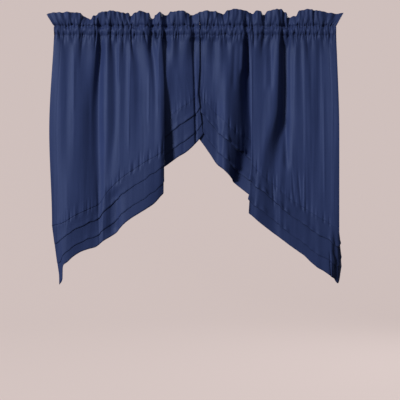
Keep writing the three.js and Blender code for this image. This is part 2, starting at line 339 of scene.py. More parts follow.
# Ranges of the gathers that aren't placed by hand, from one end of a stitch line to the other. Most of them
# are troughs. Between the stitch lines they all run equally far.
FIRST_GATHER = (2, 8)
GATHER_PITCHES = (5.5, 11)
GATHER_MARGIN = 2
TROUGH_CHANCE = 0.72
TROUGH_HEIGHTS = (-5.2, -2.2)
RIDGE_HEIGHTS = (1.2, 2.8)
GATHER_WIDTHS = (1.8, 3.6)
GATHER_RUNS_BELOW = (18, 46)
GATHER_RUNS_ABOVE = (24, 60)
POCKET_RUN = 22
GATHER_LEANS_BELOW = (-0.2, 0.2)
GATHER_LEANS_ABOVE = (-0.3, 0.3)

# Troughs, listed one by one, that fan out from the lower stitch line: place, forward height, how far they
# run below and above it, and their sideways lean below it. They share a half width and lean at random above
# it.
Fan = namedtuple("Fan", "place height below above lean_below")

LEFT_FANS = [
    Fan(-454, -2.0, 70, 30, 0.05),
    Fan(-391, -4.5, 160, 40, 0.0),
    Fan(-345, -7.5, 80, 95, 0.0),
    Fan(-328, -3.0, 90, 30, -0.05),
    Fan(-295, -4.0, 110, 60, 0.05),
    Fan(-252, -4.4, 120, 30, -0.03),
    Fan(-228, -7.0, 110, 95, 0.08),
    Fan(-163, -10.0, 90, 95, -0.05),
    Fan(-147, -9.0, 70, 50, 0.05),
    Fan(-114, -7.0, 60, 95, 0.0),
    Fan(-68, -2.4, 60, 40, 0.0),
    Fan(-16, -7.2, 110, 95, 0.0),
]

RIGHT_FANS = [
    Fan(11, -3.0, 90, 40, 0.04),
    Fan(45, -3.0, 70, 30, 0.08),
    Fan(78, -3.6, 70, 80, 0.0),
    Fan(95, -2.8, 60, 40, -0.08),
    Fan(158, -7.0, 60, 40, 0.05),
    Fan(182, -9.0, 60, 95, 0.05),
    Fan(216, -7.5, 90, 95, -0.02),
    Fan(238, -4.0, 110, 20, 0.02),
    Fan(249, -2.6, 60, 30, -0.06),
    Fan(278, -7.0, 60, 40, 0.05),
    Fan(297, -9.0, 65, 70, 0.04),
    Fan(316, -6.0, 100, 90, 0.0),
    Fan(359, -3.2, 110, 30, 0.05),
    Fan(376, -2.6, 90, 40, -0.05),
    Fan(410, -3.2, 80, 50, 0.08),
    Fan(436, -2.6, 60, 60, 0.04),
]
FAN_WIDTH = 3.8
FAN_LEANS_ABOVE = (-0.15, 0.15)

# The two stitch lines draw grooves into the cloth, and the gathers pull it up and down near them.
LOWER_GROOVE = 0.4
UPPER_GROOVE = 2.0
STITCH_GROOVE_WIDTH = 2.8
STITCH_WAVE = 1.8
STITCH_WAVE_HEIGHT = 9.0
STITCH_WAVE_LENGTHS = (14, 60)

# Puckers along the border seam, with their ranges. Troughs are twice as deep as ridges are high, and both
# end sooner below the seam than above it. The seam draws a groove into the cloth.
Pucker = namedtuple("Pucker", "place width height rise")
FIRST_PUCKER = (8, 20)
PUCKER_PITCHES = (9, 24)
PUCKER_MARGIN = 8
PUCKER_WIDTHS = (2.2, 4.6)
PUCKER_HEIGHTS = (0.5, 1.4)
TROUGH_OR_RIDGE = (-2.0, 1.0)
PUCKER_RISES = (28, 70)
SOONER_BELOW = 2.5
SEAM_GROOVE = 0.25
SEAM_GROOVE_WIDTH = 3.5

# The side hems are turned to the back, and their seams draw a faint groove into the front.
SIDE_HEM_WIDTH = 25.0
SIDE_HEM_GROOVE = 0.35
SIDE_HEM_GROOVE_WIDTH = 1.5

# Sewing stitches on the stitch lines. Each ring of a stitch lies at a share of its length, with a share of
# its radius.
Ring = namedtuple("Ring", "along size")
STITCH_RINGS = [Ring(0, 0.3), Ring(0.2, 1), Ring(0.8, 1), Ring(1, 0.3)]
STITCH_SIDES = 5
STITCH_PITCH = 3.4
STITCH_LENGTH = 2.4
STITCH_GAP = 2.0
STITCH_RADIUS = 0.32
STITCH_LIFT = 0.45

# The look of the cloth, laid out in metres. Noise has a number of cells to the metre along each axis.
Noise = namedtuple("Noise", "cells detail roughness")
WARP_STREAKS = Noise((170, 3.2, 1), 3.0, 0.55)
MOTTLE = Noise((11, 11, 1), 3.0, 0.5)
SLUBS = Noise((1600, 34, 1), 2.0, 0.5)
NAVY_DARK = (0.0268, 0.0425, 0.130, 1)
NAVY_LIGHT = (0.0340, 0.0525, 0.158, 1)
NAVY_RANGE = (0.3, 0.7)
CLOTH_ROUGHNESS = (0.45, 0.60)
CLOTH_SPECULAR = 0.21
CLOTH_SPECULAR_TINT = (0.55, 0.68, 1.0, 1)
SHEEN_WEIGHT = 0.03
SHEEN_ROUGHNESS = 0.45
SHEEN_TINT = (0.55, 0.65, 1.0, 1)
WEAVE_STRENGTH = 0.35
WEAVE_DEPTH = 0.00012

# A wave texture of scale one has a band every tenth of pi.
THREAD_PITCH = 0.0005
THREAD_SCALE = math.pi / 10 / THREAD_PITCH

# The look of the sewing thread.
THREAD_DARK = (0.026, 0.038, 0.105, 1)
THREAD_LIGHT = (0.050, 0.068, 0.165, 1)
THREAD_ROUGHNESS = 0.6
THREAD_SPECULAR = 0.25
THREAD_FUZZ = 900.0
THREAD_FUZZ_DETAIL = 2.0

# The stage, lights and camera are in metres. The stage is a floor that bends up into a backdrop all round.
STAGE_FLOOR = -1.55
STAGE_TOP = 4.0
STAGE_HOLE = 0.001
STAGE_FLAT = 4.2
STAGE_BEND = 2.2
STAGE_BEND_STEPS = 12
STAGE_TURNS = 96
STAGE_COLOUR = (0.115, 0.098, 0.095, 1)
STAGE_ROUGHNESS = 0.95
STAGE_SPECULAR = 0.1
STAGE_GLOW = (0.63, 0.53, 0.51, 1)
STAGE_GLOW_STRENGTH = 0.93

# Round lights that aim at the middle of the curtain, with their power in watts, and a faint even sky.
Lamp = namedtuple("Lamp", "name place size power colour")
LAMPS = [
    Lamp("key_light", (-5.0, -5.0, 1.5), 1.55, 430, (1, 0.99, 0.97)),
    Lamp("top_light", (0.5, -1.5, 2.6), 0.8, 9, (1, 0.99, 0.97)),
    Lamp("back_light", (2.2, 2.8, 0.8), 2.0, 90, (1, 1, 1)),
]
CURTAIN_MIDDLE = (0, 0, -0.4)
SKY_COLOUR = (1, 0.98, 0.97, 1)
SKY_STRENGTH = 0.09

# The camera's place, the width that it sees at the rod line, and its sensor's width in millimetres.
CAMERA_X = 0.0017
CAMERA_Z = -0.566
CAMERA_DISTANCE = 2.98
VIEW_WIDTH = 1.340
SENSOR_WIDTH = 36

# The two swags, each with the seed of its random gathers, creases, puckers and waves.
Pattern = namedtuple("Pattern", "side folds ruffle creases fans openings seed")
PATTERNS = [
    Pattern("left", LEFT_FOLDS, LEFT_RUFFLE, LEFT_CREASES, LEFT_FANS, LEFT_OPENINGS, 11),
    Pattern("right", RIGHT_FOLDS, RIGHT_RUFFLE, RIGHT_CREASES, RIGHT_FANS, RIGHT_OPENINGS, 23),
]

# One swag as it is built: its tables as arrays, all its creases and gathers, and its random numbers.
Swag = namedtuple("Swag", "folds ruffle outer_end creases gathers puckers openings rng")


def columns_of(record, table):
    """The table's columns as arrays, by name."""
    return record(*np.array(table, dtype=float).T)


def lerp(start, end, share):
    """The value at a share of the way from start to end."""
    return start + (end - start) * share


def smooth(value, low, high):
    """A share that eases from 0 at low to 1 at high."""
    share = np.clip((value - low) / (high - low), 0, 1)
    return share * share * (3 - 2 * share)


def cubic_step(start, end, slope_start, slope_end, share):
    """A cubic from one value to the next with given slopes at its ends."""
    square = share * share
    cube = square * share
    return (
        start * (2 * cube - 3 * square + 1)
        + end * (3 * square - 2 * cube)
        + slope_start * (cube - 2 * square + share)
        + slope_end * (cube - square)
    )


def down_line(top, half, seam, share):
    """A value that runs smoothly down a fold line, from the heading past half way to the seam."""
    upper = half - top
    lower = seam - half
    same_way = upper * lower > 0
    bend = np.where(same_way, 2 * upper * lower / np.where(same_way, upper + lower, 1), 0)
    return np.where(
        share < 0.5,
        cubic_step(top, half, upper, bend, share * 2),
        cubic_step(half, seam, bend, 0, share * 2 - 1),
    )


def stitch_reach(folds):
    """The forward reach of the fold lines where a stitch line holds them."""
    return STITCH_REACH + STITCH_SHARE * folds.top_reach


def hanging_points(folds, share):
    """Points of the fold lines above the seam, at shares of their drop, one row for each row of shares."""
    opened = smooth(share, 0, GATHER_RELEASE)
    x = down_line(folds.top, folds.half, folds.seam, share)
    reach = down_line(folds.top_reach, folds.half_reach, folds.seam_reach, share)
    z = lerp(-POCKET_HALF_HEIGHT, folds.seam_height, share)
    return np.stack([x, -lerp(stitch_reach(folds), reach, opened), z], axis=-1)


def tucked_share(folds):
    """The share of the border that is as deep as its tucks; a drooping corner hangs below that."""
    return np.minimum(1, TUCK_BORDER_DEPTH / (folds.seam_height - folds.hem_height))


def border_points(folds, down):
    """Points of the fold lines below the seam, at a share of the way to the hem."""
    tucked = tucked_share(folds)
    droop = np.maximum(0, down - LAST_TUCK) / (1 - LAST_TUCK)
    down = lerp(down * tucked, down, droop)
    x = lerp(folds.seam, folds.foot, np.minimum(1, down / tucked))
    y = -lerp(folds.seam_reach, folds.foot_reach, down)
    z = lerp(folds.seam_height, folds.hem_height, down)
    return np.stack([x, y, z], axis=-1)


def across(points):
    """Rows of points on smooth centripetal curves through one point for each fold line."""
    before = 2 * points[:, :1] - points[:, 1:2]
    after = 2 * points[:, -1:] - points[:, -2:-1]
    padded = np.concatenate([before, points, after], axis=1)
    steps = np.sqrt(np.linalg.norm(np.diff(padded, axis=1), axis=2, keepdims=True))
    p0, p1, p2, p3 = padded[:, :-3], padded[:, 1:-2], padded[:, 2:-1], padded[:, 3:]
    d0, d1, d2 = steps[:, :-2], steps[:, 1:-1], steps[:, 2:]
    slope_start = d1 * ((p1 - p0) / d0 - (p2 - p0) / (d0 + d1) + (p2 - p1) / d1)
    slope_end = d1 * ((p2 - p1) / d1 - (p3 - p1) / (d1 + d2) + (p3 - p2) / d2)
    share = (np.arange(COLUMNS_PER_FOLD) / COLUMNS_PER_FOLD)[None, None, :, None]
    grid = cubic_step(
        p1[:, :, None], p2[:, :, None], slope_start[:, :, None], slope_end[:, :, None], share
    )
    rows = grid.reshape(len(points), -1, 3)
    return np.concatenate([rows, points[:, -1:]], axis=1)


def behind(rows, distance):
    """The same rows moved toward the back of the cloth by a distance, even or for each point."""
    step = np.diff(rows, axis=1)
    back = np.stack([-step[..., 1], step[..., 0], np.zeros_like(step[..., 0])], axis=-1)
    back /= np.linalg.norm(back, axis=-1, keepdims=True)
    left = np.concatenate([back[:, :1], back], axis=1)
    right = np.concatenate([back, back[:, -1:]], axis=1)
    stretch = distance / (1 + np.sum(left * right, axis=-1, keepdims=True))
    return rows + (left + right) * stretch


def grid_normals(rows):
    """Normals of a grid that runs upward and to the right, toward the front of the cloth."""
    sideways = np.gradient(rows, axis=1)
    upward = np.gradient(rows, axis=0)
    normals = np.cross(sideways, upward)
    return normals / np.maximum(np.linalg.norm(normals, axis=-1, keepdims=True), NEARLY_ZERO)


def uneven_wave(rng, place, shortest, longest, parts=7):
    """A smooth uneven wave along the cloth, about one unit high, from a few sines of mixed lengths."""
    wave = np.zeros_like(place)
    for length in np.geomspace(shortest, longest, parts):
        wave += np.sin(2 * math.pi * (place / length + rng.random())) / math.sqrt(parts / 2)
    return wave


def make_gathers(rng, low, high, fans):
    """The placed fans and small uneven gathers along both stitch lines, mostly narrow troughs."""
    gathers = [
        Gather(
            place=fan.place,
            line=-POCKET_HALF_HEIGHT,
            width=FAN_WIDTH,
            height=fan.height,
            below=fan.below,
            above=fan.above,
            lean_below=fan.lean_below,
            lean_above=rng.uniform(*FAN_LEANS_ABOVE),
        )
        for fan in fans
    ]
    for line in (-POCKET_HALF_HEIGHT, POCKET_HALF_HEIGHT):
        place = low + rng.uniform(*FIRST_GATHER)
        while place < high - GATHER_MARGIN:
            heights = TROUGH_HEIGHTS if rng.random() < TROUGH_CHANCE else RIDGE_HEIGHTS
            gathers.append(
                Gather(
                    place=place,
                    line=line,
                    width=rng.uniform(*GATHER_WIDTHS),
                    height=rng.uniform(*heights),
                    below=rng.uniform(*GATHER_RUNS_BELOW) if line < 0 else POCKET_RUN,
                    above=rng.uniform(*GATHER_RUNS_ABOVE) if line > 0 else POCKET_RUN,
                    lean_below=rng.uniform(*GATHER_LEANS_BELOW),
                    lean_above=rng.uniform(*GATHER_LEANS_ABOVE),
                )
            )
            place += rng.uniform(*GATHER_PITCHES)
    return gathers


def make_streaks(rng, low, high):
    """Fine long creases anywhere on the cloth, as ridges and as troughs."""
    streaks = []
    for _ in range(STREAK_COUNT):
        x = rng.uniform(low, high)
        z = rng.uniform(*STREAK_TOPS)
        streaks.append(
            Crease(
                x_top=x,
                z_top=z,
                x_low=x + rng.uniform(-STREAK_DRIFT, STREAK_DRIFT),
                z_low=z - rng.uniform(*STREAK_LENGTHS),
                width=rng.uniform(*STREAK_WIDTHS),
                height=rng.choice([-1, 1]) * rng.uniform(*STREAK_HEIGHTS),
            )
        )
    return streaks


def make_puckers(rng, low, high):
    """Uneven puckers along the border seam."""
    puckers = []
    place = low + rng.uniform(*FIRST_PUCKER)
    while place < high - PUCKER_MARGIN:
        puckers.append(
            Pucker(
                place=place,
                width=rng.uniform(*PUCKER_WIDTHS),
                height=rng.choice(TROUGH_OR_RIDGE) * rng.uniform(*PUCKER_HEIGHTS),
                rise=rng.uniform(*PUCKER_RISES),
            )
        )
        place += rng.uniform(*PUCKER_PITCHES)
    return puckers


def shape_swag(pattern):
    """A swag's tables as arrays, with the random creases, gathers and puckers added to the placed ones."""
    rng = np.random.default_rng(pattern.seed)
    folds = columns_of(Fold, pattern.folds)
    low = folds.top.min()
    high = folds.top.max()
    return Swag(
        folds=folds,
        ruffle=columns_of(Frill, pattern.ruffle),
        outer_end=low if pattern.side == "left" else high,
        creases=pattern.creases + make_streaks(rng, low, high),
        gathers=make_gathers(rng, low, high, pattern.fans),
        puckers=make_puckers(rng, low, high),
        openings=columns_of(Opening, pattern.openings),
        rng=rng,
    )


def gather_relief(gathers, place, z):
    """Forward relief of the stitch lines and of the gathers they draw in, by place on the heading."""
    relief = np.zeros(np.broadcast_shapes(place.shape, z.shape))
    for line, depth in ((-POCKET_HALF_HEIGHT, LOWER_GROOVE), (POCKET_HALF_HEIGHT, UPPER_GROOVE)):
        relief -= depth * np.exp(-(((z - line) / STITCH_GROOVE_WIDTH) ** 2))
    for gather in gathers:
        below = np.maximum(gather.line - z, 0)
        above = np.maximum(z - gather.line, 0)
        width = gather.width * (1 + (below + above) / GATHER_SPREAD)
        sideways = gather.lean_below * below + gather.lean_above * above
        offset = (place - gather.place - sideways) / width
        fade = (1 - smooth(below, 0, gather.below)) * (1 - smooth(above, 0, gather.above))
        relief += gather.height * np.exp(-np.abs(offset) ** GATHER_SHARPNESS) * fade
    return relief


def stitch_wave(waves, z):
    """How far the gathers pull the cloth up or down near the two stitch lines."""
    shift = np.zeros(z.shape)
    for wave, line in zip(waves, (-POCKET_HALF_HEIGHT, POCKET_HALF_HEIGHT)):
        shift += STITCH_WAVE * wave * np.exp(-(((z - line) / STITCH_WAVE_HEIGHT) ** 2))
    return shift


def crease_relief(creases, x, z):
    """Forward relief of soft ridges and troughs that run down the cloth."""
    relief = np.zeros_like(x)
    for crease in creases:
        share = (crease.z_top - z) / (crease.z_top - crease.z_low)
        offset = (x - lerp(crease.x_top, crease.x_low, share)) / crease.width
        fade = smooth(share, 0, CREASE_FADE) * (1 - smooth(share, 1 - CREASE_FADE, 1))
        relief += crease.height * np.exp(-offset * offset) * fade
    return relief


def seam_relief(puckers, place, rise):
    """Forward relief of the puckers along the border seam, and the groove of the seam itself."""
    relief = -SEAM_GROOVE * np.exp(-((rise / SEAM_GROOVE_WIDTH) ** 2))
    for pucker in puckers:
        offset = (place - pucker.place) / pucker.width
        fade = 1 - smooth(np.where(rise > 0, rise, -SOONER_BELOW * rise), 0, pucker.rise)
        relief = relief + pucker.height * np.exp(-offset * offset) * fade
    return relief


def side_hem_relief(rows):
    """The grooves of the side hems, by the distance from the two side edges along the cloth."""
    length = np.linalg.norm(np.diff(rows, axis=1), axis=-1)
    along = np.concatenate([np.zeros((len(rows), 1)), np.cumsum(length, axis=1)], axis=1)
    from_edge = np.minimum(along, along[:, -1:] - along)
    offset = (from_edge - SIDE_HEM_WIDTH) / SIDE_HEM_GROOVE_WIDTH
    return -SIDE_HEM_GROOVE * np.exp(-offset * offset)


def panel_grid(folds):
    """The front of the panel, from the border seam up to the lower stitch line."""
    even = np.linspace(1, 0, PANEL_ROWS)[:, None]
    share = even - ROW_CROWDING * np.sin(2 * math.pi * even) / (2 * math.pi)
    return across(hanging_points(folds, share))


def pocket_grid(folds, is_front):
    """One wall of the rod pocket, from the lower to the upper stitch line."""
    share = np.linspace(-1, 1, POCKET_ROWS)[:, None]
    bulge = 1 - np.abs(share) ** POCKET_SQUARENESS
    swell = DEEPEST_GATHER + folds.top_reach
    front_reach = FRONT_WALL_REACH + FRONT_WALL_SHARE * swell
    back_reach = HEADING_STEP - BACK_WALL_REACH - BACK_WALL_SHARE * swell
    reach = lerp(stitch_reach(folds), front_reach if is_front else back_reach, bulge)
    x = np.broadcast_to(folds.top, reach.shape)
    z = np.broadcast_to(share * POCKET_HALF_HEIGHT, reach.shape)
    rows = across(np.stack([x, -reach, z], axis=-1))
    return rows if is_front else behind(rows, HEADING_STEP)


def ruffle_value(ruffle, values, place):
    """A column of the ruffle's table at places along the heading, eased between its rows."""
    last = np.clip(np.searchsorted(ruffle.place, place), 1, len(ruffle.place) - 1)
    share = smooth(place, ruffle.place[last - 1], ruffle.place[last])
    return lerp(values[last - 1], values[last], share)


def ruffle_grid(stitches, ruffle, outer_end, rng):
    """The front of the ruffle, from the upper stitch line to its upper edge."""
    place = stitches[:, 0]
    spread = 1 - smooth(np.abs(place - outer_end), 0, RUFFLE_FLARE_WIDTH)
    x = place + np.sign(outer_end) * RUFFLE_FLARE * spread
    reach = ruffle_value(ruffle, ruffle.reach, place)
    reach += EDGE_WAVE_REACH * uneven_wave(rng, place, *EDGE_REACH_LENGTHS)
    height = ruffle_value(ruffle, ruffle.height, place)
    height += EDGE_WAVE_HEIGHT * uneven_wave(rng, place, *EDGE_HEIGHT_LENGTHS)
    edge = np.stack([x, -reach, height], axis=-1)
    share = np.linspace(0, 1, RUFFLE_ROWS)[:, None]
    rows = lerp(stitches[None], edge[None], share[..., None])
    rows[..., 1] -= RUFFLE_PUFF * np.sin(math.pi * share ** RUFFLE_PUFF_SHAPE)
    return rows


def over_the_top(front, back):
    """Rows that turn the ruffle's front edge over to its back edge."""
    middle = (front + back) / 2
    angles = np.linspace(0, math.pi, TURN_ROWS + 2)[1:-1, None, None]
    rise = np.array([0, 0, HEADING_STEP / 2])
    return middle + (front - middle) * np.cos(angles) + rise * np.sin(angles)


def swag_grid(swag):
    """The whole swag: up the front of the panel and pocket, over the ruffle and down the back."""
    panel = panel_grid(swag.folds)
    pocket = pocket_grid(swag.folds, True)
    frill = ruffle_grid(pocket[-1], swag.ruffle, swag.outer_end, swag.rng)
    front = np.concatenate([panel, pocket[1:], frill[1:]])
    place = pocket[0, :, 0][None]
    x, z = front[..., 0], front[..., 2]
    waves = [uneven_wave(swag.rng, place, *STITCH_WAVE_LENGTHS) for _ in range(2)]
    relief = gather_relief(swag.gathers, place, z)
    relief += crease_relief(swag.creases, x, z)
    relief += seam_relief(swag.puckers, x[0][None], z - z[0][None])
    relief += side_hem_relief(front)
    front = front + grid_normals(front) * relief[..., None]
    front[..., 2] += stitch_wave(waves, z)
    frill_back = behind(front[-RUFFLE_ROWS:], HEADING_STEP)
    pocket_back = pocket_grid(swag.folds, False)
    back_relief = gather_relief(swag.gathers, place, pocket_back[..., 2])
    pocket_back = pocket_back + grid_normals(pocket_back) * back_relief[..., None]
    pocket_back[..., 2] += stitch_wave(waves, pocket_back[..., 2])
    over = over_the_top(front[-1], frill_back[-1])
    stitches = [front[PANEL_ROWS - 1], front[PANEL_ROWS + POCKET_ROWS - 2]]
    return np.concatenate([front, over, frill_back[::-1], pocket_back[-2::-1]]), stitches


def border_steps():
    """The border's section, row by row between the places of its table."""
    for here, there in zip(BORDER_SECTION, BORDER_SECTION[1:]):
        for share in np.arange(here.rows) / here.rows:
            yield Section(*lerp(np.array(here), np.array(there), share))


def border_row(folds, down):
    """One row across the border, at a share of the way from seam to hem."""
    return across(border_points(folds, np.full((1, 1), down)))


def border_grid(swag):
    """The border's layers, from the seam down the front and through its tucks to the turned hem, with their
    painted light, which holds a painted shadow along the tucks' edges.
    """
    seam = border_row(swag.folds, 0)[0]
    along = np.concatenate([[0], np.cumsum(np.linalg.norm(np.diff(seam, axis=0), axis=-1))])
    wave = TUCK_WAVE * uneven_wave(swag.rng, along, *TUCK_WAVE_LENGTHS)
    openness = np.interp(seam[:, 0], swag.openings.place, swag.openings.lift)
    opening_wave = OPENING_WAVE * uneven_wave(swag.rng, along, *OPENING_WAVE_LENGTHS)
    openness *= np.clip(1 + opening_wave, *OPENING_LIMITS)
    # Painted shadow along the edges of open tucks: the wider a tuck stands open, the darker its edge is
    # painted.
    tuck_edge_painted_light = 1 - TUCK_PAINTED_SHADOW * np.clip(openness / WIDE_OPEN, 0, 1)
    rows = []
    light = []
    for step in border_steps():
        row = border_row(swag.folds, step.down)
        slope = (row - border_row(swag.folds, step.down - SLOPE_STEP)) / SLOPE_STEP
        row = row + slope * (wave * math.sin(math.pi * step.down))[None, :, None]
        x, z = row[0, :, 0], row[0, :, 2]
        relief = seam_relief(swag.puckers, seam[:, 0], z - seam[:, 2])
        relief += side_hem_relief(row)[0]
        relief += crease_relief(swag.creases, x, z)
        backward = step.layer * BORDER_STEP - step.lift * openness - relief
        rows.append(behind(row, backward[None, :, None])[0])
        # Each row's painted light, with its share of the painted shadow along a tuck's edge.
        light.append(BORDER_PAINTED_LIGHT * lerp(1, tuck_edge_painted_light, step.shade))
    return np.stack(rows), np.stack(light)


def swag_painted_light(rows):
    """The painted light at each point of a swag: painted shade in the heading and among the gathers below
    it.
    """
    gathered = smooth(rows[:PANEL_ROWS, :, 2], -GATHER_PAINTED_SHADE_REACH, -POCKET_HALF_HEIGHT)
    light = np.full(rows.shape[:2], HEADING_PAINTED_LIGHT)
    light[:PANEL_ROWS] = lerp(PANEL_PAINTED_LIGHT, HEADING_PAINTED_LIGHT, gathered)
    return light


def add_mesh(name, points, faces, material):
    """A smooth shaded object of points in metres, linked to the scene."""
    mesh = bpy.data.meshes.new(name)
    mesh.from_pydata(points, [], faces)
    mesh.polygons.foreach_set("use_smooth", np.ones(len(mesh.polygons), dtype=bool))
    mesh.materials.append(material)
    piece = bpy.data.objects.new(name, mesh)
    bpy.context.scene.collection.objects.link(piece)
    return piece


def cloth_object(name, rows, light, material):
    """A thin sheet around a grid of points, laid out in metres, with a painted light for each point that
    shades its colour.
    """
    height, width = rows.shape[:2]
    index = np.arange(height * width).reshape(height, width)
    faces = np.stack([index[:-1, :-1], index[:-1, 1:], index[1:, 1:], index[1:, :-1]], axis=-1)
    points = (rows.reshape(-1, 3) * MM).tolist()
    piece = add_mesh(name, points, faces.reshape(-1, 4).tolist(), material)
    sideways = np.linalg.norm(np.diff(rows, axis=1), axis=-1).mean(axis=0)
    upward = np.linalg.norm(np.diff(rows, axis=0), axis=-1).mean(axis=1)
    u = np.concatenate([[0], np.cumsum(sideways)]) * MM
    v = np.concatenate([[0], np.cumsum(upward)]) * MM
    corners = faces.reshape(-1)
    places = np.stack([u[corners % width], v[corners // width]], axis=-1)
    layout = piece.data.uv_layers.new(name="cloth")
    layout.data.foreach_set("uv", places.reshape(-1).astype(np.float32))
    # Painted light: a factor for each point that darkens the cloth's colour as painted shade.
    painted_light = piece.data.attributes.new("painted_light", "FLOAT", "POINT")
    painted_light.data.foreach_set("value", light.reshape(-1).astype(np.float32))
    body = piece.modifiers.new("thickness", "SOLIDIFY")
    body.thickness = CLOTH * MM
    body.offset = 0
    return piece


def stitch_points(line, along, start):
    """Rings of points around one stitch, which starts at a distance along a line of points."""
    spots = start + STITCH_LENGTH * np.array([ring.along for ring in STITCH_RINGS])
    path = np.stack([np.interp(spots, along, line[:, axis]) for axis in range(3)], axis=-1)
    ahead = path[-1] - path[0]
    ahead = ahead / np.linalg.norm(ahead)
    up = np.array([0.0, 0.0, 1.0])
    out = np.cross(ahead, up)
    points = []
    for spot, ring in zip(path, STITCH_RINGS):
        for angle in np.arange(STITCH_SIDES) * 2 * math.pi / STITCH_SIDES:
            spoke = up * math.cos(angle) + out * math.sin(angle)
            points.append(spot + out * STITCH_LIFT + spoke * STITCH_RADIUS * ring.size)
    return points


def stitch_faces(first):
    """The faces of one stitch, from the number of its first point."""
    faces = []
    last_ring = len(STITCH_RINGS) - 1
    for ring in range(last_ring):
        for side in range(STITCH_SIDES):
            here = first + ring * STITCH_SIDES + side
            beside = first + ring * STITCH_SIDES + (side + 1) % STITCH_SIDES
            faces.append((here, beside, beside + STITCH_SIDES, here + STITCH_SIDES))
    faces.append(tuple(first + side for side in reversed(range(STITCH_SIDES))))
    faces.append(tuple(first + last_ring * STITCH_SIDES + side for side in range(STITCH_SIDES)))
    return faces


def stitch_object(name, lines, material):
    """Short rounded stitches that lie along lines of points on the front of the cloth."""
    points = []
    faces = []
    for line in lines:
        length = np.linalg.norm(np.diff(line, axis=0), axis=-1)
        along = np.concatenate([[0], np.cumsum(length)])
        for start in np.arange(STITCH_GAP, along[-1] - STITCH_PITCH, STITCH_PITCH):
            faces += stitch_faces(len(points))
            points += stitch_points(line, along, start)
    return add_mesh(name, (np.array(points) * MM).tolist(), faces, material)


def add_node(tree, kind, **values):
    """A new node with its settings and its unlinked inputs, given by name."""
    node = tree.nodes.new(kind)
    for name, value in values.items():
        label = name.replace("_", " ").title()
        if label in node.inputs:
            node.inputs[label].default_value = value
        else:
            setattr(node, name, value)
    return node


def cloth_noise(tree, place, noise):
    """Noise on the cloth's layout."""
    stretch = add_node(tree, "ShaderNodeMapping", scale=noise.cells)
    texture = add_node(
        tree, "ShaderNodeTexNoise", scale=1.0, detail=noise.detail, roughness=noise.roughness
    )
    tree.links.new(place, stretch.inputs["Vector"])
    tree.links.new(stretch.outputs["Vector"], texture.inputs["Vector"])
    return texture.outputs["Fac"]


def thread_bands(tree, place, direction):
    """The threads of the cloth that lie side by side along one axis."""
    bands = add_node(tree, "ShaderNodeTexWave", bands_direction=direction, scale=THREAD_SCALE)
    tree.links.new(place, bands.inputs["Vector"])
    return bands.outputs["Fac"]


def two_values(tree, operation, first, second):
    """The sum or the product of two values."""
    node = add_node(tree, "ShaderNodeMath", operation=operation)
    tree.links.new(first, node.inputs[0])
    tree.links.new(second, node.inputs[1])
    return node.outputs["Value"]


def colour_between(tree, value, dark, light, low, high):
    """A colour that runs from dark to light while a value runs from low to high."""
    shade = add_node(tree, "ShaderNodeValToRGB")
    shade.color_ramp.elements[0].position = low
    shade.color_ramp.elements[0].color = dark
    shade.color_ramp.elements[1].position = high
    shade.color_ramp.elements[1].color = light
    tree.links.new(value, shade.inputs["Fac"])
    return shade.outputs["Color"]


def cloth_colour(tree, place):
    """Navy with streaks along the warp and a soft mottle, scaled by the painted light of each point, which
    paints shade.
    """
    streaks = cloth_noise(tree, place, WARP_STREAKS)
    mottle = cloth_noise(tree, place, MOTTLE)
    mean = add_node(tree, "ShaderNodeMath", operation="MULTIPLY")
    mean.inputs[1].default_value = 1 / 2
    tree.links.new(two_values(tree, "ADD", streaks, mottle), mean.inputs[0])
    navy = colour_between(tree, mean.outputs["Value"], NAVY_DARK, NAVY_LIGHT, *NAVY_RANGE)
    painted_light = add_node(tree, "ShaderNodeAttribute", attribute_name="painted_light")
    colour = add_node(tree, "ShaderNodeVectorMath", operation="SCALE")
    tree.links.new(navy, colour.inputs["Vector"])
    tree.links.new(painted_light.outputs["Fac"], colour.inputs["Scale"])
    return colour.outputs["Vector"]


def cloth_roughness(tree, slubs):
    """Roughness that varies with the slubs."""
    gloss = add_node(tree, "ShaderNodeMapRange")
    gloss.inputs["To Min"].default_value = CLOTH_ROUGHNESS[0]
    gloss.inputs["To Max"].default_value = CLOTH_ROUGHNESS[1]
    tree.links.new(slubs, gloss.inputs["Value"])
    return gloss.outputs["Result"]


def cloth_weave(tree, place, slubs):
    """The relief of warp and weft threads and of the slubs."""
    warp = thread_bands(tree, place, "X")
    weft = thread_bands(tree, place, "Y")
    weave = two_values(tree, "MULTIPLY", warp, weft)
    bump = add_node(tree, "ShaderNodeBump", strength=WEAVE_STRENGTH, distance=WEAVE_DEPTH)
    tree.links.new(two_values(tree, "ADD", weave, slubs), bump.inputs["Height"])
    return bump.outputs["Normal"]


def cloth_material():
    """Plain woven navy cloth: fine threads, uneven slubs along the warp and a soft sheen."""
    material = bpy.data.materials.new("navy_cloth")
    material.use_nodes = True
    tree = material.node_tree
    shader = tree.nodes["Principled BSDF"]
    shader.inputs["Specular IOR Level"].default_value = CLOTH_SPECULAR
    shader.inputs["Specular Tint"].default_value = CLOTH_SPECULAR_TINT
    shader.inputs["Sheen Weight"].default_value = SHEEN_WEIGHT
    shader.inputs["Sheen Roughness"].default_value = SHEEN_ROUGHNESS
    shader.inputs["Sheen Tint"].default_value = SHEEN_TINT
    place = add_node(tree, "ShaderNodeUVMap", uv_map="cloth").outputs["UV"]
    slubs = cloth_noise(tree, place, SLUBS)
    tree.links.new(cloth_colour(tree, place), shader.inputs["Base Color"])
    tree.links.new(cloth_roughness(tree, slubs), shader.inputs["Roughness"])
    tree.links.new(cloth_weave(tree, place, slubs), shader.inputs["Normal"])
    return material


